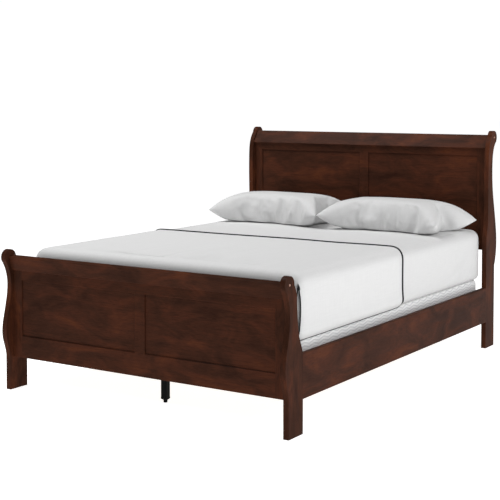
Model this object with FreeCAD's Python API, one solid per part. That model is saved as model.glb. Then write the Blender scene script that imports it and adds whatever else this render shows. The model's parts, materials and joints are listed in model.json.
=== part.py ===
import FreeCAD, Part
import math
import os

# Sleigh bed for a 1524 x 2032 mm mattress, in millimetres.
# X runs across the bed, Y from the foot to the head, Z up.
# The origin is on the floor, under the middle of the whole bed.

V = FreeCAD.Vector

# ---- driving dimensions -----------------------------------------------------

BED_WIDTH = 1626.0          # over the outer faces of the posts
RAIL_LENGTH = 2056.0        # side rail, between the foot and head legs
FOOT_LEG_DEPTH = 118.0
HEAD_LEG_DEPTH = 122.0
FOOT_Y = -1148.0            # front face of the foot legs
POST_THICK = 27.0           # the posts are boards that stand on edge
SCROLL_R = 38.0             # the small round scroll at the top of each post
EDGE_ROUND = 2.5            # eased edges on all show wood

MATTRESS_WIDTH = 1524.0
MATTRESS_LENGTH = 2032.0
MATTRESS_Z = (390.0, 680.0)

RAIL_Z = (150.0, 348.0)
RAIL_THICK = 24.0

FRAME_THICK = 22.0          # rails and stiles of the two end panels
STILE_WIDTH = 56.0
CENTER_STILE_WIDTH = 60.0
PANEL_THICK = 6.0
PANEL_RECESS = 7.0          # from the face of the frame to the face of the panel
GROOVE_DEPTH = 9.0
FRAME_BEVEL = 3.0           # small bevel around each panel
CROWN_THICK = 30.0

CLEAT_WIDTH = 25.0
CLEAT_HEIGHT = 38.0
SLAT_COUNT = 9
SLAT_WIDTH = 70.0
SLAT_THICK = 19.0
SLAT_PITCH = 231.7
BEAM_WIDTH = 40.0
LEG_SIZE = 32.0             # square tube of the centre legs
LEG_WALL = 1.5

FIT = 0.1                   # gap round dowels, plates and screws
LOOSE = 0.4                 # gap between pieces that lift off each other

# ---- planes worked out from them --------------------------------------------

HALF = BED_WIDTH / 2
POST_X = HALF - POST_THICK                     # inner face of a post
RAIL_FOOT_Y = FOOT_Y + FOOT_LEG_DEPTH          # the rail's two ends
HEAD_Y = RAIL_FOOT_Y + RAIL_LENGTH             # front face of the head legs
SLAT_Z = RAIL_Z[0] + CLEAT_HEIGHT
SLAT_TOP = SLAT_Z + SLAT_THICK
RAIL_X = HALF - RAIL_THICK                     # inner face of a side rail
CLEAT_X = RAIL_X - CLEAT_WIDTH
SLAT_Y = [(i - (SLAT_COUNT - 1) / 2) * SLAT_PITCH for i in range(SLAT_COUNT)]
LEG_Y = {"foot": SLAT_Y[0], "middle": 0.0, "head": SLAT_Y[-1]}
BED_Y = (-984.0, -984.0 + MATTRESS_LENGTH)     # the mattress between the two ends

parts = {}                                     # node name: shape


# ---- small helpers ----------------------------------------------------------

def block(x, y, z):
    """Box from three (low, high) pairs."""
    return Part.makeBox(x[1] - x[0], y[1] - y[0], z[1] - z[0], V(x[0], y[0], z[0]))


def rod(start, axis, length, radius):
    return Part.makeCylinder(radius, length, V(*start), V(*axis))


def mirrored(shape):
    """The same piece for the other side of the bed."""
    return shape.mirror(V(0, 0, 0), V(1, 0, 0))


def edges_along(shape, axis, keep=lambda p: True):
    """Straight edges parallel to an axis whose middle passes the test."""
    found = []
    for edge in shape.Edges:
        if not isinstance(edge.Curve, Part.Line):
            continue
        middle = edge.CenterOfMass
        if abs(abs(edge.tangentAt(edge.FirstParameter).dot(V(*axis))) - 1) < 1e-6 and keep(middle):
            found.append(edge)
    return found


def eased(shape, radius=EDGE_ROUND):
    return shape.makeFillet(radius, shape.Edges)


def outline_face(points):
    """Flat face in the YZ plane from (y, z) corners."""
    corners = [V(0, y, z) for y, z in points]
    return Part.Face(Part.makePolygon(corners + corners[:1]))


def screw(start, axis, length, shank_r=2.0, head_r=4.0, grow=0.0):
    """Countersunk screw whose head is flush at start and whose tip is length away."""
    head = Part.makeCone(head_r + grow, shank_r + grow, head_r - shank_r, V(*start), V(*axis))
    return head.fuse(rod(start, axis, length + grow, shank_r + grow)).removeSplitter()


def cut(name, tool):
    parts[name] = parts[name].cut(tool)


# ---- posts ------------------------------------------------------------------

def curve(points):
    """Smooth curve through (y, z) points."""
    line = Part.BSplineCurve()
    line.interpolate([V(0, y, z) for y, z in points])
    return line.toShape()


def scroll_point(center, degrees):
    turn = math.radians(degrees)
    return (center[0] + SCROLL_R * math.cos(turn), center[1] + SCROLL_R * math.sin(turn))


def post(leg_y, leg_depth, front, back, scroll, front_turn, back_turn):
    """Right post: an S board with a round scroll on top.

    front runs up from the leg and back runs down from the scroll, both as
    (depth behind the leg's front face, height). The scroll is a circle that
    the front meets at front_turn degrees and the back at back_turn degrees.
    """
    front_end = scroll_point(scroll, front_turn)
    back_start = scroll_point(scroll, back_turn)
    top = scroll_point(scroll, (front_turn + back_turn) / 2)
    arc = Part.Arc(V(0, *front_end), V(0, *top), V(0, *back_start)).toShape()
    toe, heel = V(0, 0, 0), V(0, leg_depth, 0)
    wire = Part.Wire([
        Part.makeLine(toe, V(0, *front[0])),
        curve(front + [front_end]),
        arc,
        curve([back_start] + back),
        Part.makeLine(V(0, *back[-1]), heel),
        Part.makeLine(heel, toe),
    ])
    board = Part.Face(wire).extrude(V(POST_THICK, 0, 0))
    board.translate(V(POST_X, leg_y, 0))
    return board


FOOT_FRONT = [(0, 160), (-6, 202), (-22, 255), (-26.5, 296), (-12, 381), (4, 452), (11, 534), (-3, 597)]
FOOT_BACK = [(62, 622), (69, 560), (74, 500), (86, 428), (104, 385), (118, 345)]
FOOT_SCROLL = (8, 656)
HEAD_FRONT = [(0, 620), (6, 655), (17, 695), (23, 745), (22, 900), (22, 1060), (32, 1145)]
HEAD_BACK = [(104, 1147), (86, 1095), (81, 1035), (89, 909), (112, 808), (137, 707), (151, 620), (146, 535), (122, 465)]
HEAD_SCROLL = (105, 1204)


def make_posts():
    shapes = {
        "footboard": post(FOOT_Y, FOOT_LEG_DEPTH, FOOT_FRONT, FOOT_BACK, FOOT_SCROLL, 204, -8),
        "headboard": post(HEAD_Y, HEAD_LEG_DEPTH, HEAD_FRONT, HEAD_BACK, HEAD_SCROLL, 171, -42),
    }
    for end, shape in shapes.items():
        parts[end + "_post_right"] = shape
        parts[end + "_post_left"] = mirrored(shape)


BUTTON_R = 5.0
BUTTON_PROUD = 2.5
BUTTON_STEM = 8.0


def make_scroll_buttons():
    """Small domed buttons, one in the middle of each scroll's outer face."""
    buttons = []
    sphere_r = (BUTTON_R ** 2 + BUTTON_PROUD ** 2) / (2 * BUTTON_PROUD)
    for end, leg_y, scroll in (("footboard", FOOT_Y, FOOT_SCROLL), ("headboard", HEAD_Y, HEAD_SCROLL)):
        y, z = leg_y + scroll[0], scroll[1]
        ball = Part.makeSphere(sphere_r, V(HALF + BUTTON_PROUD - sphere_r, y, z))
        dome = ball.common(rod((HALF, y, z), (1, 0, 0), BUTTON_PROUD, BUTTON_R))
        stem = rod((HALF - BUTTON_STEM, y, z), (1, 0, 0), BUTTON_STEM, BUTTON_R / 2)
        button = dome.fuse(stem)
        hole = rod((HALF - BUTTON_STEM - FIT, y, z), (1, 0, 0), BUTTON_STEM + FIT, BUTTON_R / 2 + FIT)
        cut(end + "_post_right", hole)
        cut(end + "_post_left", mirrored(hole))
        buttons += [button, mirrored(button)]
    parts["scroll_buttons"] = Part.makeCompound(buttons)


# ---- footboard and headboard frames ------------------------------------------

ENDS = {
    # face: front plane of the frame. bottom, opening, top: heights of the frame and its panels.
    "footboard": {"face": FOOT_Y + 25, "bottom": 161, "opening": (270, 543), "top": 591},
    "headboard": {"face": HEAD_Y + 51, "bottom": 558, "opening": (660, 1097), "top": 1142},
}
CROWNS = {
    # lower front corner and upper front corner of the leaning cap board, as (y, z)
    "footboard": ((FOOT_Y + 16, 591), (FOOT_Y - 4, 658)),
    "headboard": ((HEAD_Y + 33, 1142), (HEAD_Y + 81, 1220)),
}


def crown_section(low, high):
    """Cap board's section: a leaning board whose lower end is cut level."""
    lean_y, lean_z = high[0] - low[0], high[1] - low[1]
    length = math.hypot(lean_y, lean_z)
    across = (lean_z / length * CROWN_THICK, -lean_y / length * CROWN_THICK)
    back_high = (high[0] + across[0], high[1] + across[1])
    slide = (back_high[1] - low[1]) / lean_z
    back_low = (back_high[0] - lean_y * slide, low[1])
    return [low, high, back_high, back_low]


def panel_bevel(x, z, face):
    """Tool that bevels the frame's front edge all round one panel opening."""
    def ring(y, grow):
        corners = [V(x[0] - grow, y, z[0] - grow), V(x[1] + grow, y, z[0] - grow),
                   V(x[1] + grow, y, z[1] + grow), V(x[0] - grow, y, z[1] + grow)]
        return Part.makePolygon(corners + corners[:1])
    return Part.makeLoft([ring(face - 1, FRAME_BEVEL + 1), ring(face + FRAME_BEVEL, 0)], True, True)


def make_end(end):
    size = ENDS[end]
    face = size["face"]
    depth = (face, face + FRAME_THICK)
    bottom, (low, high), top = size["bottom"], size["opening"], size["top"]
    stile_x = POST_X - STILE_WIDTH
    half_center = CENTER_STILE_WIDTH / 2

    parts[end + "_stile_right"] = block((stile_x, POST_X), depth, (bottom, top))
    parts[end + "_stile_left"] = block((-POST_X, -stile_x), depth, (bottom, top))
    parts[end + "_bottom_rail"] = block((-stile_x, stile_x), depth, (bottom, low))
    parts[end + "_top_rail"] = block((-stile_x, stile_x), depth, (high, top))
    parts[end + "_center_stile"] = block((-half_center, half_center), depth, (low, high))

    frame = ["_stile_right", "_stile_left", "_bottom_rail", "_top_rail", "_center_stile"]
    openings = {"left": (-stile_x, -half_center), "right": (half_center, stile_x)}
    panel_y = (face + PANEL_RECESS, face + PANEL_RECESS + PANEL_THICK)
    for side, x in openings.items():
        held = GROOVE_DEPTH - 1                  # the panel is free to swell in its groove
        parts[end + "_panel_" + side] = block(
            (x[0] - held, x[1] + held), panel_y, (low - held, high + held))
        groove = block(
            (x[0] - GROOVE_DEPTH, x[1] + GROOVE_DEPTH), (panel_y[0] - FIT, panel_y[1] + FIT),
            (low - GROOVE_DEPTH, high + GROOVE_DEPTH))
        for piece in frame:
            cut(end + piece, groove)
            cut(end + piece, panel_bevel(x, (low, high), face))

    section = outline_face(crown_section(*CROWNS[end]))
    crown = section.extrude(V(2 * POST_X, 0, 0))
    crown.translate(V(-POST_X, 0, 0))
    parts[end + "_crown_rail"] = crown.makeFillet(EDGE_ROUND, edges_along(crown, (1, 0, 0)))


DOWEL_R = 5.0
DOWEL_LONG = 36.0
DOWEL_IN_POST = 12.0


def make_dowels(end):
    """Glued dowels: posts to stiles and crown, and the rails to the stiles."""
    size = ENDS[end]
    middle_y = size["face"] + FRAME_THICK / 2
    low, high = size["opening"]
    bottom, top = size["bottom"], size["top"]
    stile_x = POST_X - STILE_WIDTH
    corners = crown_section(*CROWNS[end])
    crown_y = sum(p[0] for p in corners) / 4
    crown_z = sum(p[1] for p in corners) / 4
    pegs = []

    def peg(start, axis, names, radius=DOWEL_R):
        hole = rod(start, axis, DOWEL_LONG, radius + FIT)
        inset = [s + a for s, a in zip(start, axis)]
        pegs.append(rod(inset, axis, DOWEL_LONG - 2, radius))
        for name in names:
            cut(end + name, hole)

    for side, sign in (("right", 1), ("left", -1)):
        out = (sign, 0, 0)
        post_start = sign * (POST_X + DOWEL_IN_POST - DOWEL_LONG)
        heights = (bottom + 40, (low + high) / 2, top - 26)
        for z in heights:
            peg((post_start, middle_y, z), out, ["_post_" + side, "_stile_" + side])
        peg((post_start, crown_y, crown_z), out, ["_post_" + side, "_crown_rail"])
        rail_start = sign * (stile_x - DOWEL_LONG / 2 - 4)
        for rail, z in (("_bottom_rail", (bottom + low) / 2 + 6), ("_top_rail", (high + top) / 2)):
            peg((rail_start, middle_y, z), out, [rail, "_stile_" + side], 4.0)
    for rail, z in (("_bottom_rail", low), ("_top_rail", high)):
        start_z = z - DOWEL_LONG / 2
        peg((0, middle_y, start_z), (0, 0, 1), [rail, "_center_stile"], 4.0)
    parts[end + "_dowels"] = Part.makeCompound(pegs)


# ---- side rails and their hook fittings ---------------------------------------

PLATE = {"x": 18.0, "z": 110.0, "thick": 2.5}
HOOK = {"thick": 3.0, "reach": 12.0, "tall": 26.0, "drop": 8.0}
POCKET_DEPTH = 16.0
PLATE_SCREW = 28.0


def make_side_rails():
    rail = block((RAIL_X, HALF), (RAIL_FOOT_Y, HEAD_Y), RAIL_Z)
    rail = rail.makeFillet(EDGE_ROUND, edges_along(rail, (0, 1, 0)))
    cleat = block((CLEAT_X, RAIL_X), (RAIL_FOOT_Y + 40, HEAD_Y - 40), (RAIL_Z[0], SLAT_Z))
    for side, shape in (("side_rail", rail), ("slat_cleat", cleat)):
        parts[side + "_right"] = shape
        parts[side + "_left"] = mirrored(shape)


def make_rail_fittings():
    """A hooked plate let into each rail end and a slotted plate let into each post."""
    x_mid = (RAIL_X + HALF) / 2
    z_mid = (RAIL_Z[0] + RAIL_Z[1]) / 2
    plate_x = (x_mid - PLATE["x"] / 2, x_mid + PLATE["x"] / 2)
    plate_z = (z_mid - PLATE["z"] / 2, z_mid + PLATE["z"] / 2)
    thick = PLATE["thick"]
    hooks, slots, screws = [], [], []
    for end, y_joint, way in (("footboard", RAIL_FOOT_Y, -1), ("headboard", HEAD_Y, 1)):
        def along(start, stop):
            """Span measured from the joint into the post."""
            return tuple(sorted((y_joint + way * start, y_joint + way * stop)))

        plate = block(plate_x, along(-thick, 0), plate_z)
        receiver = block(plate_x, along(0, thick), plate_z)
        pocket_x = (x_mid - 4, x_mid + 4)
        pocket = block(pocket_x, along(0, POCKET_DEPTH), (plate_z[0] + 14, plate_z[1] - 14))
        hook_x = (x_mid - HOOK["thick"] / 2, x_mid + HOOK["thick"] / 2)
        for z in (z_mid - 22, z_mid + 22):
            arm_z = (z - HOOK["tall"] / 2 + HOOK["drop"], z + HOOK["tall"] / 2)
            tip_z = (z - HOOK["tall"] / 2, z + HOOK["tall"] / 2)
            arm = block(hook_x, along(0, HOOK["reach"]), arm_z)
            tip = block(hook_x, along(thick + 1, HOOK["reach"]), tip_z)
            plate = plate.fuse([arm, tip])
            slot_x = (hook_x[0] - 0.5, hook_x[1] + 0.5)
            slot = block(slot_x, along(-1, thick + 1), (tip_z[0] - 1, tip_z[1] + 1))
            receiver = receiver.cut(slot)
        plate = plate.removeSplitter()
        rail_mortise = block(plate_x, along(-thick, 0), plate_z)
        post_mortise = block(plate_x, along(0, thick), plate_z)
        for z in (z_mid - 47, z_mid + 47):
            for wood, sign in (("side_rail_", -1), (end + "_post_", 1)):
                axis = (0, way * sign, 0)
                fastener = screw((x_mid, y_joint, z), axis, PLATE_SCREW)
                hole = screw((x_mid, y_joint, z), axis, PLATE_SCREW, grow=FIT)
                screws += [fastener, mirrored(fastener)]
                cut(wood + "right", hole)
                cut(wood + "left", mirrored(hole))
                plate = plate.cut(hole)
                receiver = receiver.cut(hole)
        for side, flip in (("right", lambda s: s), ("left", mirrored)):
            cut("side_rail_" + side, flip(rail_mortise))
            cut(end + "_post_" + side, flip(post_mortise.fuse(pocket)))
            hooks.append(flip(plate))
            slots.append(flip(receiver))
    parts["rail_hook_plates"] = Part.makeCompound(hooks)
    parts["post_slot_plates"] = Part.makeCompound(slots)
    parts["plate_screws"] = Part.makeCompound(screws)


def make_cleat_screws():
    screws = []
    z = RAIL_Z[0] + CLEAT_HEIGHT / 2
    for i in range(SLAT_COUNT - 1):
        y = (SLAT_Y[i] + SLAT_Y[i + 1]) / 2      # between two slats
        fastener = screw((CLEAT_X, y, z), (1, 0, 0), 38)
        hole = screw((CLEAT_X, y, z), (1, 0, 0), 38, grow=FIT)
        screws += [fastener, mirrored(fastener)]
        for side, tool in (("right", hole), ("left", mirrored(hole))):
            cut("slat_cleat_" + side, tool)
            cut("side_rail_" + side, tool)
    parts["cleat_screws"] = Part.makeCompound(screws)


# ---- slats, centre beam and centre legs ----------------------------------------

def make_slats():
    half_long = RAIL_X - 6
    beam_y = (SLAT_Y[0] - SLAT_WIDTH / 2, SLAT_Y[-1] + SLAT_WIDTH / 2)
    beam = block((-BEAM_WIDTH / 2, BEAM_WIDTH / 2), beam_y, (RAIL_Z[0], SLAT_Z))
    parts["center_beam"] = beam
    screws = []
    under = {-1: "slat_cleat_left", 0: "center_beam", 1: "slat_cleat_right"}
    for number, y in enumerate(SLAT_Y, 1):
        name = "slat_%d" % number
        slat = block((-half_long, half_long), (y - SLAT_WIDTH / 2, y + SLAT_WIDTH / 2), (SLAT_Z, SLAT_TOP))
        parts[name] = eased(slat, 1.5)
        for place, base in under.items():
            start = (place * (CLEAT_X + RAIL_X) / 2, y, SLAT_TOP)
            screws.append(screw(start, (0, 0, -1), 42))
            hole = screw(start, (0, 0, -1), 42, grow=FIT)
            cut(name, hole)
            cut(base, hole)
    parts["slat_screws"] = Part.makeCompound(screws)


LEG_PLATE = {"x": 40.0, "y": 84.0, "thick": 3.0}
LEG_BOTTOM = 25.0           # lower end of the steel tube
PLUG_BOTTOM = 14.0
PLUG_INSERT = 26.0          # how far the plug goes up into the tube
GLIDE_R = 9.75
GLIDE_TOP = 17.0
STEM_R = 4.0
STEM_TOP = 48.0


def make_center_leg(place, y):
    plate_z = RAIL_Z[0] - LEG_PLATE["thick"]
    half, bore = LEG_SIZE / 2, LEG_SIZE / 2 - LEG_WALL
    outer = block((-half, half), (y - half, y + half), (LEG_BOTTOM, plate_z))
    outer = outer.makeFillet(3.0, edges_along(outer, (0, 0, 1)))
    inner = block((-bore, bore), (y - bore, y + bore), (LEG_BOTTOM - 1, plate_z))
    plate = block(
        (-LEG_PLATE["x"] / 2, LEG_PLATE["x"] / 2), (y - LEG_PLATE["y"] / 2, y + LEG_PLATE["y"] / 2),
        (plate_z, RAIL_Z[0]))
    leg = outer.cut(inner).fuse(plate).removeSplitter()
    screws = []
    for offset in (-1, 1):
        spot = y + offset * (LEG_PLATE["y"] / 2 - 12)
        head = rod((0, spot, plate_z), (0, 0, -1), 3, 5)
        screws.append(head.fuse(rod((0, spot, plate_z), (0, 0, 1), 30, 2.5)))
        hole = rod((0, spot, plate_z), (0, 0, 1), 30 + FIT, 2.5 + FIT)
        leg = leg.cut(hole)
        cut("center_beam", hole)
    parts["center_leg_" + place] = leg

    taper = Part.makeCone(12.5, 12.5 + 2 * (LEG_BOTTOM - PLUG_BOTTOM), LEG_BOTTOM - PLUG_BOTTOM, V(0, y, PLUG_BOTTOM))
    taper = taper.common(block((-half, half), (y - half, y + half), (PLUG_BOTTOM, LEG_BOTTOM)))
    grip = bore - FIT
    insert = block((-grip, grip), (y - grip, y + grip), (LEG_BOTTOM, LEG_BOTTOM + PLUG_INSERT))
    plug = taper.fuse(insert).removeSplitter()
    # the glide's foot goes up into a wider recess, and its stem into the bore above
    plug = plug.cut(rod((0, y, PLUG_BOTTOM), (0, 0, 1), 12, GLIDE_R + 0.75))
    plug = plug.cut(rod((0, y, PLUG_BOTTOM), (0, 0, 1), 60, STEM_R + 0.2))
    parts["leg_end_plug_" + place] = plug

    foot = Part.makeCylinder(GLIDE_R, GLIDE_TOP, V(0, y, 0))
    foot = foot.makeFillet(3.0, [e for e in foot.Edges if e.CenterOfMass.z < 1 and e.Closed])
    stem = rod((0, y, GLIDE_TOP), (0, 0, 1), STEM_TOP - GLIDE_TOP, STEM_R)
    parts["glide_" + place] = foot.fuse(stem)
    return screws


def make_center_legs():
    screws = []
    for place, y in LEG_Y.items():
        screws += make_center_leg(place, y)
    parts["leg_screws"] = Part.makeCompound(screws)


# ---- bedding --------------------------------------------------------------------

SHEET_THICK = 3.0
COVERLET_THICK = 8.0
COVERLET_EDGE_Y = 18.0      # the coverlet's edge towards the head
COVERLET_HEM_Z = 393.0
PIPING_R = 3.0
HEM_CORNER_R = 40.0
MATTRESS_HALF = MATTRESS_WIDTH / 2
TOP_ROUND = 70.0
CORNER_ROUND = 72.0


def soft_block(half_width, y, z, corner, top_round):
    """Closed block with round upright corners and a round top edge."""
    shape = block((-half_width, half_width), y, z)
    shape = shape.makeFillet(corner, edges_along(shape, (0, 0, 1)))
    rim = [e for e in shape.Edges if abs(e.BoundBox.ZMin - z[1]) < 1e-3 and e.BoundBox.ZLength < 1e-3]
    return shape.makeFillet(top_round, rim)


def bedding_layer(offset):
    """The mattress's outer shape, grown by offset on the sides, the ends and the top."""
    y = (BED_Y[0] + SHEET_THICK - offset, BED_Y[1] - SHEET_THICK + offset)
    z = (MATTRESS_Z[0] + LOOSE, MATTRESS_Z[1] - SHEET_THICK + offset)
    half_width = MATTRESS_HALF - SHEET_THICK + offset
    return soft_block(half_width, y, z, CORNER_ROUND + offset, TOP_ROUND + offset)


def make_bedding():
    base_y = (BED_Y[0] + 5, BED_Y[1] - 5)
    base = block((-MATTRESS_HALF, MATTRESS_HALF), base_y, (SLAT_TOP + LOOSE, MATTRESS_Z[0]))
    parts["foundation"] = base.makeFillet(CORNER_ROUND, edges_along(base, (0, 0, 1)))

    mattress = bedding_layer(0)
    parts["mattress"] = mattress
    low = (-2000, 2000)
    above_hem = block(low, low, (MATTRESS_Z[0] + 2, 2000))
    parts["fitted_sheet"] = bedding_layer(SHEET_THICK).cut(mattress).common(above_hem)

    inner = bedding_layer(SHEET_THICK + LOOSE)
    outer = bedding_layer(SHEET_THICK + LOOSE + COVERLET_THICK)
    covered = block(low, (-2000, COVERLET_EDGE_Y), (COVERLET_HEM_Z, 2000))
    coverlet = outer.cut(inner).common(covered)

    def hem_corner(p):
        return abs(p.y - COVERLET_EDGE_Y) < 1 and abs(p.z - COVERLET_HEM_Z) < 1

    parts["coverlet"] = coverlet.makeFillet(HEM_CORNER_R, edges_along(coverlet, (1, 0, 0), hem_corner))


def make_piping():
    """Cord along the coverlet's edge: up one side, over the top, down the other side."""
    grow = LOOSE + COVERLET_THICK / 2
    side = MATTRESS_HALF + grow
    top = MATTRESS_Z[1] + grow
    y = COVERLET_EDGE_Y + PIPING_R
    hem = COVERLET_HEM_Z - PIPING_R
    turn = HEM_CORNER_R + PIPING_R
    bend = TOP_ROUND + SHEET_THICK + grow
    hem_start = BED_Y[0] + CORNER_ROUND + 20
    slant = math.sqrt(0.5)

    def half(sign):
        """One side's run, from the foot end of the hem up to the middle of the top."""
        x = sign * side
        hem_mid = V(x, y - turn + turn * slant, hem + turn - turn * slant)
        top_mid = V(sign * (side - bend + bend * slant), y, top - bend + bend * slant)
        return [
            Part.makeLine(V(x, hem_start, hem), V(x, y - turn, hem)),
            Part.Arc(V(x, y - turn, hem), hem_mid, V(x, y, hem + turn)).toShape(),
            Part.makeLine(V(x, y, hem + turn), V(x, y, top - bend)),
            Part.Arc(V(x, y, top - bend), top_mid, V(sign * (side - bend), y, top)).toShape(),
            Part.makeLine(V(sign * (side - bend), y, top), V(0, y, top)),
        ]

    path = Part.Wire(half(1) + list(reversed(half(-1))))
    ring = Part.Wire(Part.makeCircle(PIPING_R, V(side, hem_start, hem), V(0, 1, 0)))
    parts["coverlet_piping"] = path.makePipeShell([ring], True, False)


PILLOW = {"x": 745.0, "y": 470.0, "z": 180.0}
PILLOW_X = {"left": -392.0, "right": 378.0}    # middles: they lie a little to the left
PILLOW_Y = 750.0
PILLOW_LEVELS = 9
PILLOW_FLAT = 0.94          # the top and bottom levels, as a share of half the height
PILLOW_DRAW_IN = 110.0      # how far the sides draw in above and below the widest level


def make_pillow(x_middle):
    """Pillow as a stack of rounded oblongs, widest at mid height."""
    bottom = MATTRESS_Z[1] + LOOSE
    rings = []
    for level in range(PILLOW_LEVELS):
        share = level / (PILLOW_LEVELS - 1)
        t = PILLOW_FLAT * (2 * share - 1)
        draw_in = PILLOW_DRAW_IN * (1 - (1 - t * t) ** 0.42)
        half_x = PILLOW["x"] / 2 - draw_in
        half_y = PILLOW["y"] / 2 - draw_in
        z = bottom + PILLOW["z"] * share
        corners = [V(x_middle + sx * half_x, PILLOW_Y + sy * half_y, z)
                   for sx, sy in ((-1, -1), (1, -1), (1, 1), (-1, 1))]
        rings.append(Part.makePolygon(corners + corners[:1]))
    return Part.makeLoft(rings, True, True)


def make_pillows():
    for side, x_middle in PILLOW_X.items():
        parts["pillow_" + side] = make_pillow(x_middle)


# ---- build and write ----------------------------------------------------------------

make_posts()
make_scroll_buttons()
for end_name in ENDS:
    make_end(end_name)
    make_dowels(end_name)
make_side_rails()
make_rail_fittings()
make_cleat_screws()
make_slats()
make_center_legs()
make_bedding()
make_piping()
make_pillows()

os.makedirs("parts", exist_ok=True)
for node, shape in parts.items():
    shape.exportStep("parts/%s.step" % node)
whole = Part.makeCompound(list(parts.values())).BoundBox
print("nodes", len(parts))
print("box x %.1f %.1f  y %.1f %.1f  z %.1f %.1f" % (
    whole.XMin, whole.XMax, whole.YMin, whole.YMax, whole.ZMin, whole.ZMax))
for node, shape in parts.items():
    if not shape.isValid():
        print("not valid:", node)
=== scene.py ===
# %% [markdown]
# # A sleigh bed, made up with white bedding
# The joinery is already drawn and fixed. This lesson gives the wood, the steel and the plastic
# their finishes, and makes everything soft: the box spring, the mattress, the fitted sheet, the
# piped coverlet and two pillows.

# %% Load the frame
import json
import math
import time
import bmesh
import bpy
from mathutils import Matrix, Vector, noise

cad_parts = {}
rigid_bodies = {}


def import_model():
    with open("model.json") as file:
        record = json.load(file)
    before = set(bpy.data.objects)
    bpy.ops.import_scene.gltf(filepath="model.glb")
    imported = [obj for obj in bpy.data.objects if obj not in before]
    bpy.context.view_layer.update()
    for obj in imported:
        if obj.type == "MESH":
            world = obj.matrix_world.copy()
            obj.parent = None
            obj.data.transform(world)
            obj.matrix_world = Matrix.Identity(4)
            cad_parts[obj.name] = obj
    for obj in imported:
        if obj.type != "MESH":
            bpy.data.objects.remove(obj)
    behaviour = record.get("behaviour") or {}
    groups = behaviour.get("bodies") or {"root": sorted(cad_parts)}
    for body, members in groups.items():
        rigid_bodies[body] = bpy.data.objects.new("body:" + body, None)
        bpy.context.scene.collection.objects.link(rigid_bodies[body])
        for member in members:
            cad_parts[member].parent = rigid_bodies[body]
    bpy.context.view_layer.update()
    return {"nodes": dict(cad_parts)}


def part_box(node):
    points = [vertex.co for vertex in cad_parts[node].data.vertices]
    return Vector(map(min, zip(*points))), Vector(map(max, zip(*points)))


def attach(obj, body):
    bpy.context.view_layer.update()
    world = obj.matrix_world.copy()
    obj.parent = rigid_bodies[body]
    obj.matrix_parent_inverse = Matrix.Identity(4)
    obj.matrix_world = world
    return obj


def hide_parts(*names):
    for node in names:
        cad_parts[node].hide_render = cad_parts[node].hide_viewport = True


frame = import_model()
nodes = frame["nodes"]

# %% [markdown]
# ## Places and sizes
# Every place is read from the drawn parts, so nothing has to be fitted by eye. All lengths are
# in metres.

# %% Read the places of the bedding
base_low, base_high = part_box("foundation")
bed_low, bed_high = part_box("mattress")
cover_low, cover_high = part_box("coverlet")
pillow_boxes = {side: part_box("pillow_" + side) for side in ("left", "right")}
MM = 0.001
print("mattress", [round(c, 3) for c in bed_high - bed_low])

# %% [markdown]
# ## Camera
# The bed is seen from its right foot corner, a little above a standing person's chest, with a
# long lens. The lens is shifted down a little, as an architect's camera is, so that the posts
# stay nearly upright.

# %% Set up the camera
camera_data = bpy.data.cameras.new("camera")
camera = bpy.data.objects.new("camera", camera_data)
bpy.context.scene.collection.objects.link(camera)
bpy.context.scene.camera = camera
camera_data.lens = 86.46
camera_data.sensor_width = 36.0
camera_data.shift_y = -0.2
CAMERA_TURN = math.radians(32.994)
CAMERA_DIP = math.radians(2.715)
camera.location = (3.3895, -5.4144, 1.4588)
camera.rotation_euler = (math.pi / 2 - CAMERA_DIP, 0, CAMERA_TURN)

# %% [markdown]
# ## Floor and light
# A plain white floor runs out of sight and meets a sky of the same tone, which darkens higher up.
# A large soft light stands on the bed's right, so the side of the mattress is brighter than its
# top, and weaker ones fill the top and the front.

# %% Helpers for colours, nodes and selection
scene = bpy.context.scene
scene.view_settings.view_transform = "Standard"
scene.view_settings.look = "None"


def linear(code):
    """An sRGB hex colour, such as "#ffffff", as linear red, green, blue and alpha."""
    parts = [int(code[i:i + 2], 16) / 255 for i in (1, 3, 5)]
    return [c / 12.92 if c <= 0.04045 else ((c + 0.055) / 1.055) ** 2.4 for c in parts] + [1.0]


def add(tree, kind, settings=None, inputs=None):
    """Adds one node. settings are its own properties. inputs are values or sockets to link."""
    node = tree.nodes.new(kind)
    for name, value in (settings or {}).items():
        setattr(node, name, value)
    for name, value in (inputs or {}).items():
        if isinstance(value, bpy.types.NodeSocket):
            tree.links.new(value, node.inputs[name])
        else:
            node.inputs[name].default_value = value
    return node


def new_material(name, color, rough):
    """An empty node material with its shader and output joined."""
    material = bpy.data.materials.new(name)
    material.use_nodes = True
    tree = material.node_tree
    tree.nodes.clear()
    shader = add(tree, "ShaderNodeBsdfPrincipled",
                 inputs={"Base Color": linear(color), "Roughness": rough})
    add(tree, "ShaderNodeOutputMaterial", inputs={"Surface": shader.outputs["BSDF"]})
    return material, tree, shader


def ramp(tree, factor, stops):
    """A colour ramp from (position, hex colour) pairs."""
    node = add(tree, "ShaderNodeValToRGB", inputs={"Fac": factor})
    band = node.color_ramp
    for place, _ in stops[2:]:
        band.elements.new(place)
    for element, (place, color) in zip(band.elements, stops):
        element.position = place
        element.color = linear(color)
    return node.outputs["Color"]


def deselect():
    for item in bpy.context.view_layer.objects:
        item.select_set(False)


def activate(piece):
    deselect()
    piece.select_set(True)
    bpy.context.view_layer.objects.active = piece


# %% Make the floor and the sky
deselect()
bpy.ops.mesh.primitive_plane_add(size=120)
floor = bpy.context.object
floor.name = "studio_floor"
floor_paint, floor_tree, floor_shader = new_material("matte_floor_paint", "#dcdcdc", 0.9)
floor_shader.inputs["Specular IOR Level"].default_value = 0.1
floor_shader.inputs["Emission Color"].default_value = linear("#ffffff")
floor_shader.inputs["Emission Strength"].default_value = 0.90
floor.data.materials.append(floor_paint)

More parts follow.
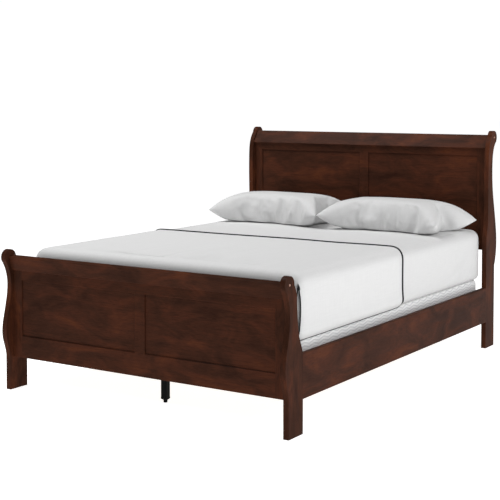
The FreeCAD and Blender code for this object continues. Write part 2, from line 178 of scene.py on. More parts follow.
world = bpy.data.worlds.new("studio_sky")
scene.world = world
world.use_nodes = True
sky = world.node_tree
direction = add(sky, "ShaderNodeTexCoord")
height = add(sky, "ShaderNodeSeparateXYZ", inputs={"Vector": direction.outputs["Generated"]})
glow = ramp(sky, height.outputs["Z"], [(0.08, "#ffffff"), (0.15, "#6a6a6a")])
sky.links.new(glow, sky.nodes["Background"].inputs["Color"])
sky.nodes["Background"].inputs["Strength"].default_value = 1.02


# %% Place the lights
def soft_light(name, place, target, size, power):
    """A square area light that faces target."""
    data = bpy.data.lights.new(name, "AREA")
    data.shape = "SQUARE"
    data.size = size
    data.energy = power
    lamp = bpy.data.objects.new(name, data)
    scene.collection.objects.link(lamp)
    lamp.location = place
    lamp.rotation_euler = (Vector(target) - Vector(place)).to_track_quat("-Z", "Y").to_euler()
    return lamp


soft_light("key_light", (5.6, -0.6, 3.9), (0, 0, 0.5), 3.5, 160)
soft_light("front_light", (-1.0, -6.0, 2.4), (0, 0, 0.6), 3.0, 3)
soft_light("top_light", (0.0, 0.3, 5.5), (0, 0, 0), 4.0, 30)
soft_light("crown_light", (-2.3, -1.0, 5.2), (0, 0.9, 1.0), 2.2, 188)

# %% [markdown]
# ## Cherry-stained hardwood
# The frame is hardwood, sanded, stained a dark reddish brown and sprayed with satin lacquer.
# Stain sinks in unevenly, so the eye sees soft lighter patches as long as a hand, streaks
# along the grain, and fine dark pores. The lacquer lies over all of it as a clear coat. The
# pattern is stretched along the grain, so there is one material for each way a board can lie.


# %% Make the stained wood, one material per grain direction
def stretched(tree, place, along, length, width):
    """Object coordinates squeezed so that one pattern unit is length by width in metres."""
    squeeze = [1 / width] * 3
    squeeze["xyz".index(along)] = 1 / length
    return add(tree, "ShaderNodeMapping",
               inputs={"Vector": place, "Scale": squeeze}).outputs["Vector"]


def blend_colors(tree, kind, factor, below, above):
    node = add(tree, "ShaderNodeMix", {"data_type": "RGBA", "blend_type": kind})
    for socket, value in zip((node.inputs[0], node.inputs[6], node.inputs[7]),
                             (factor, below, above)):
        if isinstance(value, bpy.types.NodeSocket):
            tree.links.new(value, socket)
        else:
            socket.default_value = value
    return node.outputs[2]


def stained_wood(name, along, stops):
    material, tree, shader = new_material(name, "#ffffff", 0.4)
    place = add(tree, "ShaderNodeTexCoord").outputs["Object"]
    patches = add(tree, "ShaderNodeTexNoise", inputs={
        "Vector": stretched(tree, place, along, 0.24, 0.10), "Scale": 1.0, "Detail": 3.0,
        "Roughness": 0.6, "Distortion": 0.9}).outputs["Fac"]
    streaks = add(tree, "ShaderNodeTexNoise", inputs={
        "Vector": stretched(tree, place, along, 0.30, 0.009), "Scale": 1.0, "Detail": 4.0,
        "Roughness": 0.6, "Distortion": 0.3}).outputs["Fac"]
    # Real pores are about 0.2 mm wide. They are drawn 1.6 mm wide, or they wouldn't show.
    pores = add(tree, "ShaderNodeTexNoise", inputs={
        "Vector": stretched(tree, place, along, 0.03, 0.0016), "Scale": 1.0,
        "Detail": 2.0}).outputs["Fac"]
    figure = add(tree, "ShaderNodeMath", {"operation": "MULTIPLY_ADD"},
                 {0: streaks, 1: 0.20, 2: add(tree, "ShaderNodeMath", {"operation": "MULTIPLY"},
                  {0: patches, 1: 0.80}).outputs[0]}).outputs[0]
    stain = ramp(tree, figure, stops)
    open_pores = ramp(tree, pores, [(0.34, "#9a8a86"), (0.50, "#ffffff")])
    color = blend_colors(tree, "MULTIPLY", 0.4, stain, open_pores)
    tree.links.new(color, shader.inputs["Base Color"])
    gloss = add(tree, "ShaderNodeMapRange", inputs={
        "Value": streaks, "From Min": 0.3, "From Max": 0.7, "To Min": 0.40, "To Max": 0.52})
    tree.links.new(gloss.outputs["Result"], shader.inputs["Roughness"])
    bump = add(tree, "ShaderNodeBump", inputs={
        "Strength": 0.12, "Distance": 0.0006, "Height": pores})
    tree.links.new(bump.outputs["Normal"], shader.inputs["Normal"])
    shader.inputs["IOR"].default_value = 1.5
    shader.inputs["Specular IOR Level"].default_value = 0.015
    shader.inputs["Coat Weight"].default_value = 0.02
    shader.inputs["Coat Roughness"].default_value = 0.25
    return material


CHERRY = [(0.34, "#321c13"), (0.46, "#3d2318"), (0.57, "#49281b"), (0.68, "#562f1d")]
cherry = {along: stained_wood("stained_cherry_grain_" + along, along, CHERRY)
          for along in "xyz"}


def dress(names, material):
    """Gives each of these drawn parts its finish."""
    for name in names:
        for place in nodes[name].material_slots:
            place.material = material


# The centre stiles are veneered with the panels, so their grain runs across too.
upright = [n for n in nodes if "_post_" in n and "board" in n or "_stile_" in n]
lengthwise = [n for n in nodes if n.startswith("side_rail_")]
crosswise = [n for n in nodes if "board_" in n and not n.endswith("dowels")
             and n not in upright]
dress(upright, cherry["z"])
dress(lengthwise, cherry["y"])
dress(crosswise, cherry["x"])
print("stained parts", len(upright), len(lengthwise), len(crosswise))

# %% [markdown]
# ## Bare pine, steel and nylon
# The slats, cleats, beam and dowels are planed pine, left bare: pale, matt, with wide growth
# lines. The screws and hook plates are zinc-plated steel, bright but dulled by fine brushing.
# The legs are tube, powder-coated black, which leaves a fine orange-peel skin. Plugs and glides
# are moulded nylon. The caps over the post screws are a glossier moulding, and their pale colour
# is a painted highlight on each small dome.


# %% Make and give the finishes of the small parts
def planed_pine(name, along):
    material, tree, shader = new_material(name, "#ffffff", 0.62)
    place = add(tree, "ShaderNodeTexCoord").outputs["Object"]
    rings = add(tree, "ShaderNodeTexNoise", inputs={
        "Vector": stretched(tree, place, along, 0.6, 0.011), "Scale": 1.0, "Detail": 3.0,
        "Distortion": 0.6}).outputs["Fac"]
    fibre = add(tree, "ShaderNodeTexNoise", inputs={
        "Vector": stretched(tree, place, along, 0.05, 0.001), "Scale": 1.0,
        "Detail": 2.0}).outputs["Fac"]
    color = ramp(tree, rings, [(0.35, "#d9bd8f"), (0.55, "#c9a473"), (0.68, "#ab7f4d")])
    tree.links.new(color, shader.inputs["Base Color"])
    bump = add(tree, "ShaderNodeBump", inputs={
        "Strength": 0.2, "Distance": 0.0004, "Height": fibre})
    tree.links.new(bump.outputs["Normal"], shader.inputs["Normal"])
    return material


def plain_finish(name, color, rough, grain, rise, metal=0.0):
    """A smooth finish whose only relief is a fine skin, grain metres across."""
    material, tree, shader = new_material(name, color, rough)
    place = add(tree, "ShaderNodeTexCoord").outputs["Object"]
    skin = add(tree, "ShaderNodeTexNoise", inputs={
        "Vector": place, "Scale": 1 / grain, "Detail": 2.0}).outputs["Fac"]
    shades = add(tree, "ShaderNodeMapRange", inputs={
        "Value": skin, "From Min": 0.3, "From Max": 0.7,
        "To Min": rough - 0.06, "To Max": rough + 0.06})
    tree.links.new(shades.outputs["Result"], shader.inputs["Roughness"])
    bump = add(tree, "ShaderNodeBump", inputs={
        "Strength": 0.3, "Distance": rise, "Height": skin})
    tree.links.new(bump.outputs["Normal"], shader.inputs["Normal"])
    shader.inputs["Metallic"].default_value = metal
    return material


pine = {along: planed_pine("planed_pine_grain_" + along, along) for along in "xy"}
zinc = plain_finish("brushed_zinc_plated_steel", "#a9a8a4", 0.34, 0.0012, 0.0001, metal=1.0)
powder = plain_finish("black_powder_coated_steel", "#040405", 0.5, 0.0015, 0.0002)
nylon = plain_finish("black_moulded_nylon", "#050506", 0.55, 0.0010, 0.0001)
for black in (powder, nylon):
    black.node_tree.nodes["Principled BSDF"].inputs["Specular IOR Level"].default_value = 0.06
# The caps' pale colour is a painted highlight: it stands for the light that each glossy dome
# catches.
caps = plain_finish("moulded_screw_cap_pale_painted_highlight", "#a87c68", 0.30, 0.0020, 0.0001)

by_slot = {"zinc_steel": zinc, "black_steel": powder, "black_plastic": nylon,
           "button_cap": caps}
for name, node in nodes.items():
    kind = node.material_slots[0].material.name.split(".")[0]
    if kind in by_slot:
        dress([name], by_slot[kind])
    elif kind == "plain_wood":
        lies_along_y = name.startswith(("center_beam", "slat_cleat", "footboard_d", "headboard_d"))
        dress([name], pine["y" if lies_along_y else "x"])

# %% [markdown]
# ## White cloth
# The sheet, the pillowcases and the coverlet are plain-woven cotton: matt, very pale, with a
# soft sheen at the edges. The threads cross at right angles, and a few are thicker than the
# rest, which gives faint slubs both ways. The pattern is laid on each piece's own flat pattern,
# in metres, so it follows the cloth round the edges.


# %% Make the woven cloths
def woven_cotton(name, color, shade, thread, slub, rise):
    """thread is the spacing of the drawn threads, slub a thick thread's width, in metres."""
    material, tree, shader = new_material(name, color, 0.85)
    flat = add(tree, "ShaderNodeTexCoord").outputs["UV"]
    threads = []
    for axis in ("X", "Y"):
        threads.append(add(tree, "ShaderNodeTexWave", {"bands_direction": axis}, {
            "Vector": flat, "Scale": math.pi / 10 / thread, "Distortion": 0.6,
            "Detail": 1.0}).outputs["Fac"])
    weave = add(tree, "ShaderNodeMath", {"operation": "MULTIPLY"},
                {0: threads[0], 1: threads[1]}).outputs[0]
    slubs = []
    for squeeze in ((1 / slub, 1 / (slub * 14), 1), (1 / (slub * 14), 1 / slub, 1)):
        laid = add(tree, "ShaderNodeMapping",
                   inputs={"Vector": flat, "Scale": squeeze}).outputs["Vector"]
        slubs.append(add(tree, "ShaderNodeTexNoise", inputs={
            "Vector": laid, "Scale": 1.0, "Detail": 2.0}).outputs["Fac"])
    thick = add(tree, "ShaderNodeMath", {"operation": "MULTIPLY"},
                {0: slubs[0], 1: slubs[1]}).outputs[0]
    color_out = ramp(tree, thick, [(0.16, shade), (0.34, color)])
    tree.links.new(color_out, shader.inputs["Base Color"])
    fine = add(tree, "ShaderNodeBump", inputs={
        "Strength": 0.15, "Distance": rise, "Height": weave})
    coarse = add(tree, "ShaderNodeBump", inputs={
        "Strength": 0.06, "Distance": rise * 3, "Height": thick,
        "Normal": fine.outputs["Normal"]})
    tree.links.new(coarse.outputs["Normal"], shader.inputs["Normal"])
    shader.inputs["Sheen Weight"].default_value = 0.12
    shader.inputs["Sheen Roughness"].default_value = 0.5
    shader.inputs["Specular IOR Level"].default_value = 0.2
    return material


# Real threads are 0.3 mm apart. They are drawn 2 mm apart, the finest that shows.
percale = woven_cotton("woven_percale_sheet", "#dadada", "#d7d7d7", 0.002, 0.005, 0.0002)
pillow_cloth = woven_cotton("woven_percale_pillowcase", "#d3d3d3", "#d0d0d0", 0.002, 0.004,
                            0.0002)
coverlet_cloth = woven_cotton("woven_cotton_coverlet", "#dcdcdc", "#d9d9d9", 0.003, 0.007,
                              0.0003)
cord_cloth = woven_cotton("twisted_cotton_piping", "#242627", "#1a1c1d", 0.002, 0.004, 0.0003)
cord_cloth.node_tree.nodes["Principled BSDF"].inputs["Sheen Weight"].default_value = 0.0

# %% [markdown]
# ## Box spring
# The box spring is a wooden frame padded and covered in a knitted border cloth, with a
# dark dust cover stapled underneath. It starts as a cube at the drawn size. Its upright edges
# are bevelled first, then the top and bottom ones, and a tape edge is extruded round the
# bottom, where border and dust cover are sewn together.


# %% Round a block in edit mode
def pick(piece, kind, test):
    """Selects only the edges or faces of the piece being edited that pass the test."""
    mesh = bmesh.from_edit_mesh(piece.data)
    bpy.ops.mesh.select_all(action="DESELECT")
    count = 0
    for item in getattr(mesh, kind):
        if test(item):
            item.select_set(True)
            count += 1
    mesh.select_flush_mode()
    bmesh.update_edit_mesh(piece.data)
    return count


def all_at(height):
    return lambda edge: all(abs(v.co.z - height) < 1e-5 for v in edge.verts)


def rounded_block(name, low, high, corner, top, bottom):
    """A block with rounded upright corners, top edge and bottom edge, left in edit mode."""
    deselect()
    bpy.ops.mesh.primitive_cube_add(size=1, location=(low + high) / 2, scale=high - low)
    piece = bpy.context.object
    piece.name = name
    bpy.ops.object.transform_apply(location=True, rotation=True, scale=True)
    bpy.ops.object.mode_set(mode="EDIT")
    bpy.ops.mesh.select_mode(type="EDGE")
    pick(piece, "edges", lambda e: abs(e.verts[0].co.z - e.verts[1].co.z) > 0.01)
    bpy.ops.mesh.bevel(offset=corner, segments=8)
    pick(piece, "edges", all_at(high.z))
    bpy.ops.mesh.bevel(offset=top, segments=8)
    pick(piece, "edges", all_at(low.z))
    bpy.ops.mesh.bevel(offset=bottom, segments=6)
    return piece


def soften(piece, height, size, seed):
    """Moves each point along its normal by smooth noise, so that the padding looks stuffed."""
    piece.data.update()
    for v in piece.data.vertices:
        v.co += v.normal * height * noise.noise(v.co / size + Vector((seed, 0, 0)))
    piece.data.update()


# %% Model the box spring
TAPE = 24 * MM
base = rounded_block("box_spring", base_low, base_high, 58 * MM, 15 * MM, 8 * MM)
bpy.ops.mesh.select_all(action="SELECT")
bpy.ops.mesh.bisect(plane_co=(0, 0, base_low.z + TAPE), plane_no=(0, 0, 1))
pick(base, "faces", lambda f: f.calc_center_median().z < base_low.z + TAPE
     and abs(f.normal.z) < 0.3)
bpy.ops.mesh.extrude_region_shrink_fatten(TRANSFORM_OT_shrink_fatten={"value": 2.5 * MM})
pick(base, "faces", lambda f: abs(f.normal.z) < 0.9 and f.calc_area() > 0.001)
bpy.ops.mesh.subdivide(number_cuts=9)
bpy.ops.object.mode_set(mode="OBJECT")
soften(base, 1.5 * MM, 0.12, 3)
activate(base)
bpy.ops.object.shade_smooth_by_angle(angle=math.radians(50))
print("box spring faces", len(base.data.polygons))

# %% [markdown]
# ## Knitted border cloth
# The border is knitted in relief: rows of small chevrons, white on very pale grey. The
# rows are drawn by bending straight bands with a triangle wave that runs along the border.


# %% Make the border knit, the dust cover and the mattress ticking
def knitted_border(name, period, rise, row):
    """Chevrons period long and rise high, in rows a row apart, all in metres."""
    material, tree, shader = new_material(name, "#ffffff", 0.8)
    place = add(tree, "ShaderNodeSeparateXYZ", inputs={
        "Vector": add(tree, "ShaderNodeTexCoord").outputs["Object"]})
    along = add(tree, "ShaderNodeMath", {"operation": "ADD"},
                {0: place.outputs["X"], 1: place.outputs["Y"]}).outputs[0]
    tooth = add(tree, "ShaderNodeMath", {"operation": "PINGPONG"},
                {0: along, 1: period / 2}).outputs[0]
    bent = add(tree, "ShaderNodeMath", {"operation": "MULTIPLY_ADD"},
               {0: tooth, 1: rise / (period / 2), 2: place.outputs["Z"]}).outputs[0]
    phase = add(tree, "ShaderNodeMath", {"operation": "MULTIPLY"},
                {0: bent, 1: 2 * math.pi / row}).outputs[0]
    rows = add(tree, "ShaderNodeMath", {"operation": "SINE"}, {0: phase}).outputs[0]
    grey = ramp(tree, add(tree, "ShaderNodeMapRange", inputs={
        "Value": rows, "From Min": -1.0}).outputs["Result"],
        [(0.10, "#d8d8da"), (0.65, "#f2f2f2")])
    tree.links.new(grey, shader.inputs["Base Color"])
    bump = add(tree, "ShaderNodeBump", inputs={
        "Strength": 0.3, "Distance": 0.0010, "Height": rows})
    tree.links.new(bump.outputs["Normal"], shader.inputs["Normal"])
    shader.inputs["Sheen Weight"].default_value = 0.15
    return material


border_knit = knitted_border("knitted_chevron_border", 0.085, 0.010, 0.015)
dust_cover = plain_finish("spunbonded_dust_cover", "#3a3a3c", 0.9, 0.002, 0.0003)
ticking = knitted_border("knitted_mattress_ticking", 0.040, 0.010, 0.008)


def place_on(piece, material, body, slot, *hidden):
    """Gives a finished piece its cloth and the body it moves with, and hides the drawn parts it
    stands for.
    """
    if not piece.data.materials:
        piece.data.materials.append(material)
    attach(piece, body)
    if hidden:
        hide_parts(*hidden)


base.data.materials.append(border_knit)
base.data.materials.append(dust_cover)
for face in base.data.polygons:
    face.material_index = int(face.normal.z < -0.9 and face.center.z < base_low.z + 5 * MM)
place_on(base, border_knit, "foundation", "foundation_ticking", "foundation")

# %% [markdown]
# ## Mattress
# The mattress is foam and springs in a knitted ticking. Its edges are rounder than the box
# spring's, and the fitted sheet hides it, except from below.

# %% Model the mattress
BED_CORNER = 72 * MM
BED_TOP = 66 * MM
BED_BOTTOM = 32 * MM
mattress = rounded_block("sprung_mattress", bed_low, bed_high, BED_CORNER, BED_TOP, BED_BOTTOM)
bpy.ops.object.mode_set(mode="OBJECT")
activate(mattress)
bpy.ops.object.shade_smooth_by_angle(angle=math.radians(50))
place_on(mattress, ticking, "mattress", "mattress_ticking", "mattress")
print("mattress faces", len(mattress.data.polygons))

# %% [markdown]
# ## How the cloths are laid
# A sheet is cut flat and laid over the mattress, so each cloth starts as a flat grid the size
# it was cut. Every point is then rolled over the edge by the length of cloth it has run: first
# flat, then round the top edge, down the side, and in under the bottom edge. The corners turn
# about the middle of the mattress's own rounded corner. No length is gained or lost on the
# sides, which is what makes it look laid and not moulded.


# %% Roll a point of cloth over the edge
# A circle has power 2. A higher power is squarer.
CORNER_POWER = 4.5
EDGE_POWER = 2.8


def squared(across, along, power):
    """The way out from a corner's middle, on a corner that is squarer than a circle."""
    far = max(across, along, 1e-9)
    a, b = max(across, 0) / far, max(along, 0) / far
    return Vector((a, b)) / max((a ** power + b ** power) ** (1 / power), 1e-9)


def rolled(run, flat, top_round, drop, bottom_round):
    """How far out and how far down a point lies when cloth has run this far from the core."""
    if run <= flat:
        return run, 0.0
    run -= flat
    if run <= top_round * math.pi / 2:
        turn = run / top_round
        fuller = squared(math.sin(turn), math.cos(turn), EDGE_POWER)
        return flat + top_round * fuller.x, top_round * (1 - fuller.y)
    run -= top_round * math.pi / 2
    out, down = flat + top_round, top_round
    if run <= drop:
        return out, down + run
    run -= drop
    down += drop
    if run <= bottom_round * math.pi / 2:
        turn = run / bottom_round
        return out - bottom_round * (1 - math.cos(turn)), down + bottom_round * math.sin(turn)
    run -= bottom_round * math.pi / 2
    return out - bottom_round - run, down + bottom_round


def flat_cloth(name, width, length, across, along):
    """A flat grid of cloth with its pattern in metres."""
    deselect()
    bpy.ops.mesh.primitive_grid_add(x_subdivisions=across, y_subdivisions=along, size=1)
    piece = bpy.context.object
    piece.name = name
    for v in piece.data.vertices:
        v.co = Vector((v.co.x * width, v.co.y * length, 0))
    layer = piece.data.uv_layers[0].data
    for loop in piece.data.loops:
        layer[loop.index].uv = piece.data.vertices[loop.vertex_index].co.xy
    return piece


def crease(point, start, end, width):
    """A ridge from start to end on a side, as height from 0 to 1. Points are (along, up)."""
    a, b, p = (Vector(c) for c in (start, end, point))
    t = max(0.0, min(1.0, (p - a).dot(b - a) / (b - a).length_squared))
    away = (p - a.lerp(b, t)).length / width
    return math.exp(-away) * math.sin(math.pi * (0.08 + 0.84 * t))


def thicken(piece, thickness, smooth=True):
    activate(piece)
    wall = piece.modifiers.new("cloth_thickness", "SOLIDIFY")
    wall.thickness = thickness
    wall.offset = 0
    bpy.ops.object.modifier_apply(modifier=wall.name)
    bpy.ops.object.shade_smooth_by_angle(angle=math.radians(60))


# %% [markdown]
# ## Fitted sheet
# The sheet grips the whole mattress: an elastic hem pulls it under the bottom edge, and the
# four corners are sewn, so nothing hangs. It is pulled tight, with a few slanting drag lines
# on the side near the head.

# %% Model the fitted sheet
sheet_low, sheet_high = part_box("fitted_sheet")
# Loose cloth and the mattress's bulge stand this far outside the drawn solid.
BULGE = 6 * MM
SHEET_CORE = Vector((sheet_high.x + BULGE - 90 * MM,
                     (sheet_high.y - sheet_low.y) / 2 + BULGE - 90 * MM))
SHEET_MIDDLE = (sheet_high.y + sheet_low.y) / 2
SHEET_TOP_ROUND = 68 * MM
SHEET_BOTTOM_ROUND = 34 * MM
SHEET_DROP = sheet_high.z - bed_low.z - SHEET_TOP_ROUND - SHEET_BOTTOM_ROUND
SHEET_RUN = (90 * MM - SHEET_TOP_ROUND + SHEET_TOP_ROUND * math.pi / 2 + SHEET_DROP
             + SHEET_BOTTOM_ROUND * math.pi / 2 + 80 * MM)
# Drag lines on the sides: start and end as (distance towards the head, height), width.
DRAG_LINES = [((0.57, 0.42), (0.735, 0.505), 0.009), ((0.66, 0.42), (0.82, 0.53), 0.008),
              ((0.84, 0.42), (0.95, 0.53), 0.008)]


def lay_fitted(flat):
    """Where a point of the flat sheet lies on the mattress."""
    past = Vector((max(0.0, abs(flat.x) - SHEET_CORE.x), max(0.0, abs(flat.y) - SHEET_CORE.y)))
    run = max(past)
    facing = squared(past.x, past.y, CORNER_POWER)
    out, down = rolled(run, 90 * MM - SHEET_TOP_ROUND, SHEET_TOP_ROUND, SHEET_DROP,
                       SHEET_BOTTOM_ROUND)
    core = Vector((min(abs(flat.x), SHEET_CORE.x), min(abs(flat.y), SHEET_CORE.y)))
    place = Vector((core.x + out * facing.x, core.y + out * facing.y, -down))
    place.x = math.copysign(place.x, flat.x)
    place.y = math.copysign(place.y, flat.y) + SHEET_MIDDLE
    place.z += sheet_high.z
    side = min(1.0, down / SHEET_TOP_ROUND)
    drag = sum(crease((place.y, place.z), *line) for line in DRAG_LINES)
    gather = math.sin(90 * facing.x * facing.y) if facing.x * facing.y > 0 else 0.0
    lift = (1.2 * noise.noise(Vector((flat.x * 5, flat.y * 5, 0)))
            + side * (11.0 * drag + 1.2 * gather * min(1.0, down / 0.2))) * MM
    outward = Vector((math.copysign(facing.x, flat.x) * side,
                      math.copysign(facing.y, flat.y) * side, 1 - side))
    return place + outward * lift


fitted = flat_cloth("fitted_cotton_sheet", 2 * (SHEET_CORE.x + SHEET_RUN),
                    2 * (SHEET_CORE.y + SHEET_RUN), 190, 230)
for v in fitted.data.vertices:
    v.co = lay_fitted(v.co.copy())
thicken(fitted, 1.0 * MM)
place_on(fitted, percale, "mattress", "white_sheet", "fitted_sheet")

# %% [markdown]
# ## Coverlet
# The coverlet lies over the foot half of the bed. Its foot corners are slit from just below
# the top edge down to the hem, so the side and the foot flap hang apart and the slit bows
# open. Corner squares are cut out of the flat cloth, its hem corners are rounded, and then
# it is rolled over the edges in the same way as the sheet.

# %% Model the coverlet
COVER_CORE_X = cover_high.x + BULGE - 1 * MM - 90 * MM
COVER_CORE_Y = cover_low.y - BULGE + 90 * MM
COVER_TOP_ROUND = 75 * MM
COVER_BOTTOM_ROUND = 60 * MM
COVER_DROP = 175 * MM
SIDE_RUN = 360 * MM
CORNER_KEPT = 105 * MM
STEP = 10 * MM
SLIT_BOW = 27 * MM
# The head edge stops a little short of the drawn one, and lies a little askew.
SHORT = 22 * MM
ASKEW = 12 * MM
BODY_LENGTH = cover_high.y - SHORT - COVER_CORE_Y
SIDE_CELLS = round(SIDE_RUN / STEP)
BODY_CELLS = round(BODY_LENGTH / STEP)
COVER_CUT = (2 * (COVER_CORE_X + SIDE_RUN), BODY_LENGTH + SIDE_RUN)
coverlet = flat_cloth("piped_coverlet", *COVER_CUT,
                      round(COVER_CUT[0] / STEP), BODY_CELLS + SIDE_CELLS)


def smooth_step(low, high, value):
    t = max(0.0, min(1.0, (value - low) / (high - low)))
    return t * t * (3 - 2 * t)


def rounded_corner(p, q, radius):
    """Moves a point in the square past a corner's centre into the quarter disc."""
    if p <= 0 or q <= 0:
        return p, q
    pull = max(p, q) / math.hypot(p, q)
    return p * pull, q * pull


# %% Cut the corner squares out
bpy.ops.object.mode_set(mode="EDIT")
bpy.ops.mesh.select_mode(type="FACE")
half = COVER_CUT[0] / 2


def in_cut_square(face):
    middle = face.calc_center_median()
    past_x = abs(middle.x) - COVER_CORE_X
    past_y = -COVER_CUT[1] / 2 + SIDE_RUN - middle.y
    return past_x > CORNER_KEPT and past_y > CORNER_KEPT


cut_faces = pick(coverlet, "faces", in_cut_square)
bpy.ops.mesh.delete(type="FACE")
bpy.ops.object.mode_set(mode="OBJECT")


# %% Lay the coverlet over the bed
def lay_cover(flat):
    """Where a point of the flat coverlet lies."""
    past_x = abs(flat.x) - COVER_CORE_X
    past_y = -COVER_CUT[1] / 2 + SIDE_RUN - flat.y
    hem = 40 * MM
    # The hem corners: at the head end of the side flaps, and at both sides of each slit.
    p, q = rounded_corner(past_x - SIDE_RUN + hem, -past_y - BODY_LENGTH + hem, hem)
    past_x, past_y = p + SIDE_RUN - hem, -(q + BODY_LENGTH - hem)
    on_side = past_x >= past_y
    run, rest = (past_x, past_y) if on_side else (past_y, past_x)
    run = max(run, 0.0)
    kept = CORNER_KEPT if run > CORNER_KEPT else max(run, 1e-6)
    slit = max(0.0, min(1.0, (run - CORNER_KEPT) / (SIDE_RUN - CORNER_KEPT)))
    near = smooth_step(-150 * MM, CORNER_KEPT, rest)
    shift = SLIT_BOW * math.sin(math.pi * slit ** 0.9) ** 0.8 * near
    out, down = rolled(run, 90 * MM - COVER_TOP_ROUND, COVER_TOP_ROUND, COVER_DROP,
                       COVER_BOTTOM_ROUND)
    low = max(0.0, run - (SIDE_RUN - 110 * MM)) / (110 * MM)
    out += low * low * 10 * MM
    arc = rest - shift if run > CORNER_KEPT else rest
    facing = squared(1.0, max(arc, 0.0) / kept, CORNER_POWER)
    across = Vector((out * facing.x, out * facing.y + min(arc, 0.0)))
    x, y = (across.x, across.y) if on_side else (across.y, across.x)
    side = min(1.0, down / COVER_TOP_ROUND)
    soft = 1.6 * MM * noise.noise(Vector((flat.x * 4, flat.y * 4, 5)))
    soft += side * 1.5 * MM * noise.noise(Vector((flat.x * 2, flat.y * 9, 9)))
    place = Vector((COVER_CORE_X + x, COVER_CORE_Y - y, cover_high.z - 2 * MM - down))
    outward = Vector((side * on_side, -side * (not on_side), 1 - side))
    place += outward * soft
    if past_x < 0 and on_side:
        place.x = abs(flat.x)
    place.x = math.copysign(place.x, flat.x)
    place.y += ASKEW * place.x / cover_high.x * max(0.0, -past_y) / BODY_LENGTH
    return place


for v in coverlet.data.vertices:
    v.co = lay_cover(v.co.copy())
coverlet.data.update()
print("coverlet box", [round(c, 3) for c in coverlet.bound_box[0]],
      [round(c, 3) for c in coverlet.bound_box[6]])

# %% [markdown]
# ## Piping
# A dark cord, covered in cotton, is sewn into every edge of the coverlet. Its path is the
# coverlet's own edge, so the edge is copied, turned into a curve and given a round section.

# %% Make the piping from the coverlet's edge
# The cord sits on the edge, not beside it, so it stands proud of the coverlet's top. Along the
# hem and the slits the cloth turns in under the edge, and the cord shows less there.
PIPING_RADIUS = 4.5 * MM
HEM_LINE = base_high.z + 20 * MM
activate(coverlet)
bpy.ops.object.duplicate()
piping = bpy.context.object
piping.name = "coverlet_edge_piping"
bpy.ops.object.mode_set(mode="EDIT")
bpy.ops.mesh.select_mode(type="EDGE")
edge_mesh = bmesh.from_edit_mesh(piping.data)
moves = []
for v in edge_mesh.verts:
    inner = [e.other_vert(v).co for e in v.link_edges if not e.is_boundary]
    if v.is_boundary and inner:
        past_edge = (v.co - sum(inner, Vector()) / len(inner)).normalized()
        turned_in = v.co.z < HEM_LINE or (
            v.co.y < COVER_CORE_Y and v.co.z < cover_high.z - COVER_TOP_ROUND)
        proud = 0.1 if turned_in else 0.7
        moves.append((v, PIPING_RADIUS * (0.5 * past_edge + proud * v.normal)))
for v, move in moves:
    v.co += move
pick(piping, "edges", lambda e: not e.is_boundary)
bpy.ops.mesh.delete(type="EDGE")
bpy.ops.object.mode_set(mode="OBJECT")
piping.data.materials.clear()
bpy.ops.object.convert(target="CURVE")
piping = bpy.context.object
piping.data.bevel_depth = PIPING_RADIUS
piping.data.bevel_resolution = 2
for line in piping.data.splines:
    for point in line.points:
        turned_in = point.co.z < HEM_LINE or (
            point.co.y < COVER_CORE_Y and point.co.z < cover_high.z - COVER_TOP_ROUND)
        point.radius = 0.5 if turned_in else 1.0
bpy.ops.object.convert(target="MESH")
piping = bpy.context.object
piping.name = "coverlet_edge_piping"
bpy.ops.object.shade_smooth()
if not piping.data.uv_layers:
    piping.data.uv_layers.new(name="UVMap")
print("piping faces", len(piping.data.polygons))

# %% Finish the coverlet and its piping
thicken(coverlet, 2.5 * MM)
place_on(coverlet, coverlet_cloth, "coverlet", "coverlet_white", "coverlet")
place_on(piping, cord_cloth, "coverlet", "piping_grey", "coverlet_piping")

# %% [markdown]
# ## Pillows
# A pillow is two flat rectangles sewn together and filled. It is made in that order: a flat
# closed envelope is blown up by a cloth simulation until it is round in the middle, which
# pulls the sides in between the corners and puckers the seams. Then it is pressed flat where
# it rests on the bed.

# %% Fill a flat envelope by cloth simulation
ENVELOPE = (0.800, 0.560)


def filled_envelope(name, cells):
    deselect()
    bpy.ops.mesh.primitive_grid_add(x_subdivisions=cells[0], y_subdivisions=cells[1], size=1)
    pillow = bpy.context.object
    pillow.name = name
    for v in pillow.data.vertices:
        v.co = Vector((v.co.x * ENVELOPE[0], v.co.y * ENVELOPE[1], 0))
    layer = pillow.data.uv_layers[0].data
    for loop in pillow.data.loops:
        layer[loop.index].uv = pillow.data.vertices[loop.vertex_index].co.xy
    bpy.ops.object.mode_set(mode="EDIT")
    bpy.ops.mesh.select_all(action="SELECT")
    bpy.ops.mesh.extrude_region_move(TRANSFORM_OT_translate={"value": (0, 0, 6 * MM)})
    bpy.ops.mesh.select_all(action="SELECT")
    bpy.ops.mesh.normals_make_consistent(inside=False)
    bpy.ops.object.mode_set(mode="OBJECT")
    for v in pillow.data.vertices:
        side = 1 if v.co.z > 3 * MM else -1
        crown = max(0.0, 1 - (v.co.x / (ENVELOPE[0] / 2)) ** 2) * max(
            0.0, 1 - (v.co.y / (ENVELOPE[1] / 2)) ** 2)
        v.co.z += side * 22 * MM * crown * (1 + 0.15 * noise.noise(v.co * 9))
    fabric = pillow.modifiers.new("filling", "CLOTH")
    fabric.settings.quality = 6
    fabric.settings.mass = 0.25
    fabric.settings.tension_stiffness = 40
    fabric.settings.compression_stiffness = 40
    fabric.settings.shear_stiffness = 8
    fabric.settings.bending_stiffness = 1.5
    fabric.settings.use_pressure = True
    fabric.settings.uniform_pressure_force = 6
    fabric.settings.effector_weights.gravity = 0
    fabric.point_cache.frame_start = 1
    fabric.point_cache.frame_end = 40
    for frame_number in range(1, 31):
        scene.frame_set(frame_number)
    activate(pillow)
    bpy.ops.object.modifier_apply(modifier=fabric.name)
    scene.frame_set(1)
    return pillow


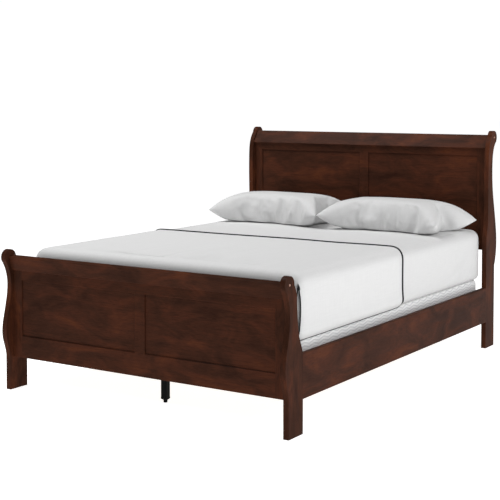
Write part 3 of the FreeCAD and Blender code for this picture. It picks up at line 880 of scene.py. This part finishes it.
started = time.time()
pillow = filled_envelope("pillow_on_right", (96, 68))
print("filled in", round(time.time() - started, 1), "s, box",
      [round(max(v.co[i] for v in pillow.data.vertices)
             - min(v.co[i] for v in pillow.data.vertices), 3) for i in range(3)])


# %% Press the pillows onto the bed and finish them
FULLNESS = 1.8
# How far the gathers stand out, as a share of the pillow's depth.
PUCKER = 0.045


def iron(piece):
    """Smooths the deep folds of the blown-up envelope, which a filled pillow doesn't keep."""
    activate(piece)
    ironed = piece.modifiers.new("ironed", "SMOOTH")
    ironed.factor = 0.5
    ironed.iterations = 16
    bpy.ops.object.modifier_apply(modifier=ironed.name)


def rest_on_bed(piece, low, high, seam, droop, lean):
    """Fits a filled pillow to its box, with its seam at this height, flat underneath."""
    iron(piece)
    places = [v.co for v in piece.data.vertices]
    lows = Vector([min(p[i] for p in places) for i in range(3)])
    highs = Vector([max(p[i] for p in places) for i in range(3)])
    middle = (low + high) / 2
    for v in piece.data.vertices:
        p = v.co
        x = (p.x - lows.x) / (highs.x - lows.x) - 0.5
        y = (p.y - lows.y) / (highs.y - lows.y) - 0.5
        share = p.z / (highs.z if p.z > 0 else -lows.z)
        z = (math.tanh(FULLNESS * share) / math.tanh(FULLNESS)
             * ((high.z - seam) if p.z > 0 else (seam - low.z) * 1.3))
        floor_here = low.z - seam
        if z < floor_here * 0.6:
            soft = floor_here * 0.4
            z = floor_here * 0.6 + soft * math.tanh((z - floor_here * 0.6) / soft)
        # Gathers stand up from the front and back seams and die away towards the top. Taking
        # the size of the noise makes narrow valleys between round folds, as a seam does.
        folds = abs(noise.noise(Vector((x * 21 - z * 9 + 40 * lean, y * 3, z * 6)))) - 0.2
        gather = PUCKER * math.exp(-(z / (52 * MM)) ** 2) * (1 - (2 * x) ** 6) * folds
        y += math.copysign(gather, y) * smooth_step(0.15, 0.4, abs(y))
        z += 0.2 * gather
        edge = max(abs(x), abs(y)) * 2
        v.co = Vector((middle.x + x * (high.x - low.x) + lean * y, middle.y + y * (high.y - low.y),
                       seam + z + droop * x * edge * edge * (1 if z > floor_here * 0.9 else 0)))


def smooth_pillow(piece):
    activate(piece)
    finer = piece.modifiers.new("finer", "SUBSURF")
    finer.levels = finer.render_levels = 1
    bpy.ops.object.modifier_apply(modifier=finer.name)
    bpy.ops.object.shade_smooth()


activate(pillow)
bpy.ops.object.duplicate()
other = bpy.context.object
other.name = "pillow_on_left"
other.rotation_euler = (0, 0, math.pi)
bpy.ops.object.transform_apply(location=False, rotation=True, scale=False)
for piece, side, seam, droop, lean in ((pillow, "right", 748 * MM, -20 * MM, 45 * MM),
                                       (other, "left", 754 * MM, 4 * MM, 0.0)):
    low, high = pillow_boxes[side]
    rest_on_bed(piece, low, high, seam, droop, lean)
    smooth_pillow(piece)
    place_on(piece, pillow_cloth, "pillow_" + side, "pillowcase_white", "pillow_" + side)
    print(piece.name, "faces", len(piece.data.polygons))
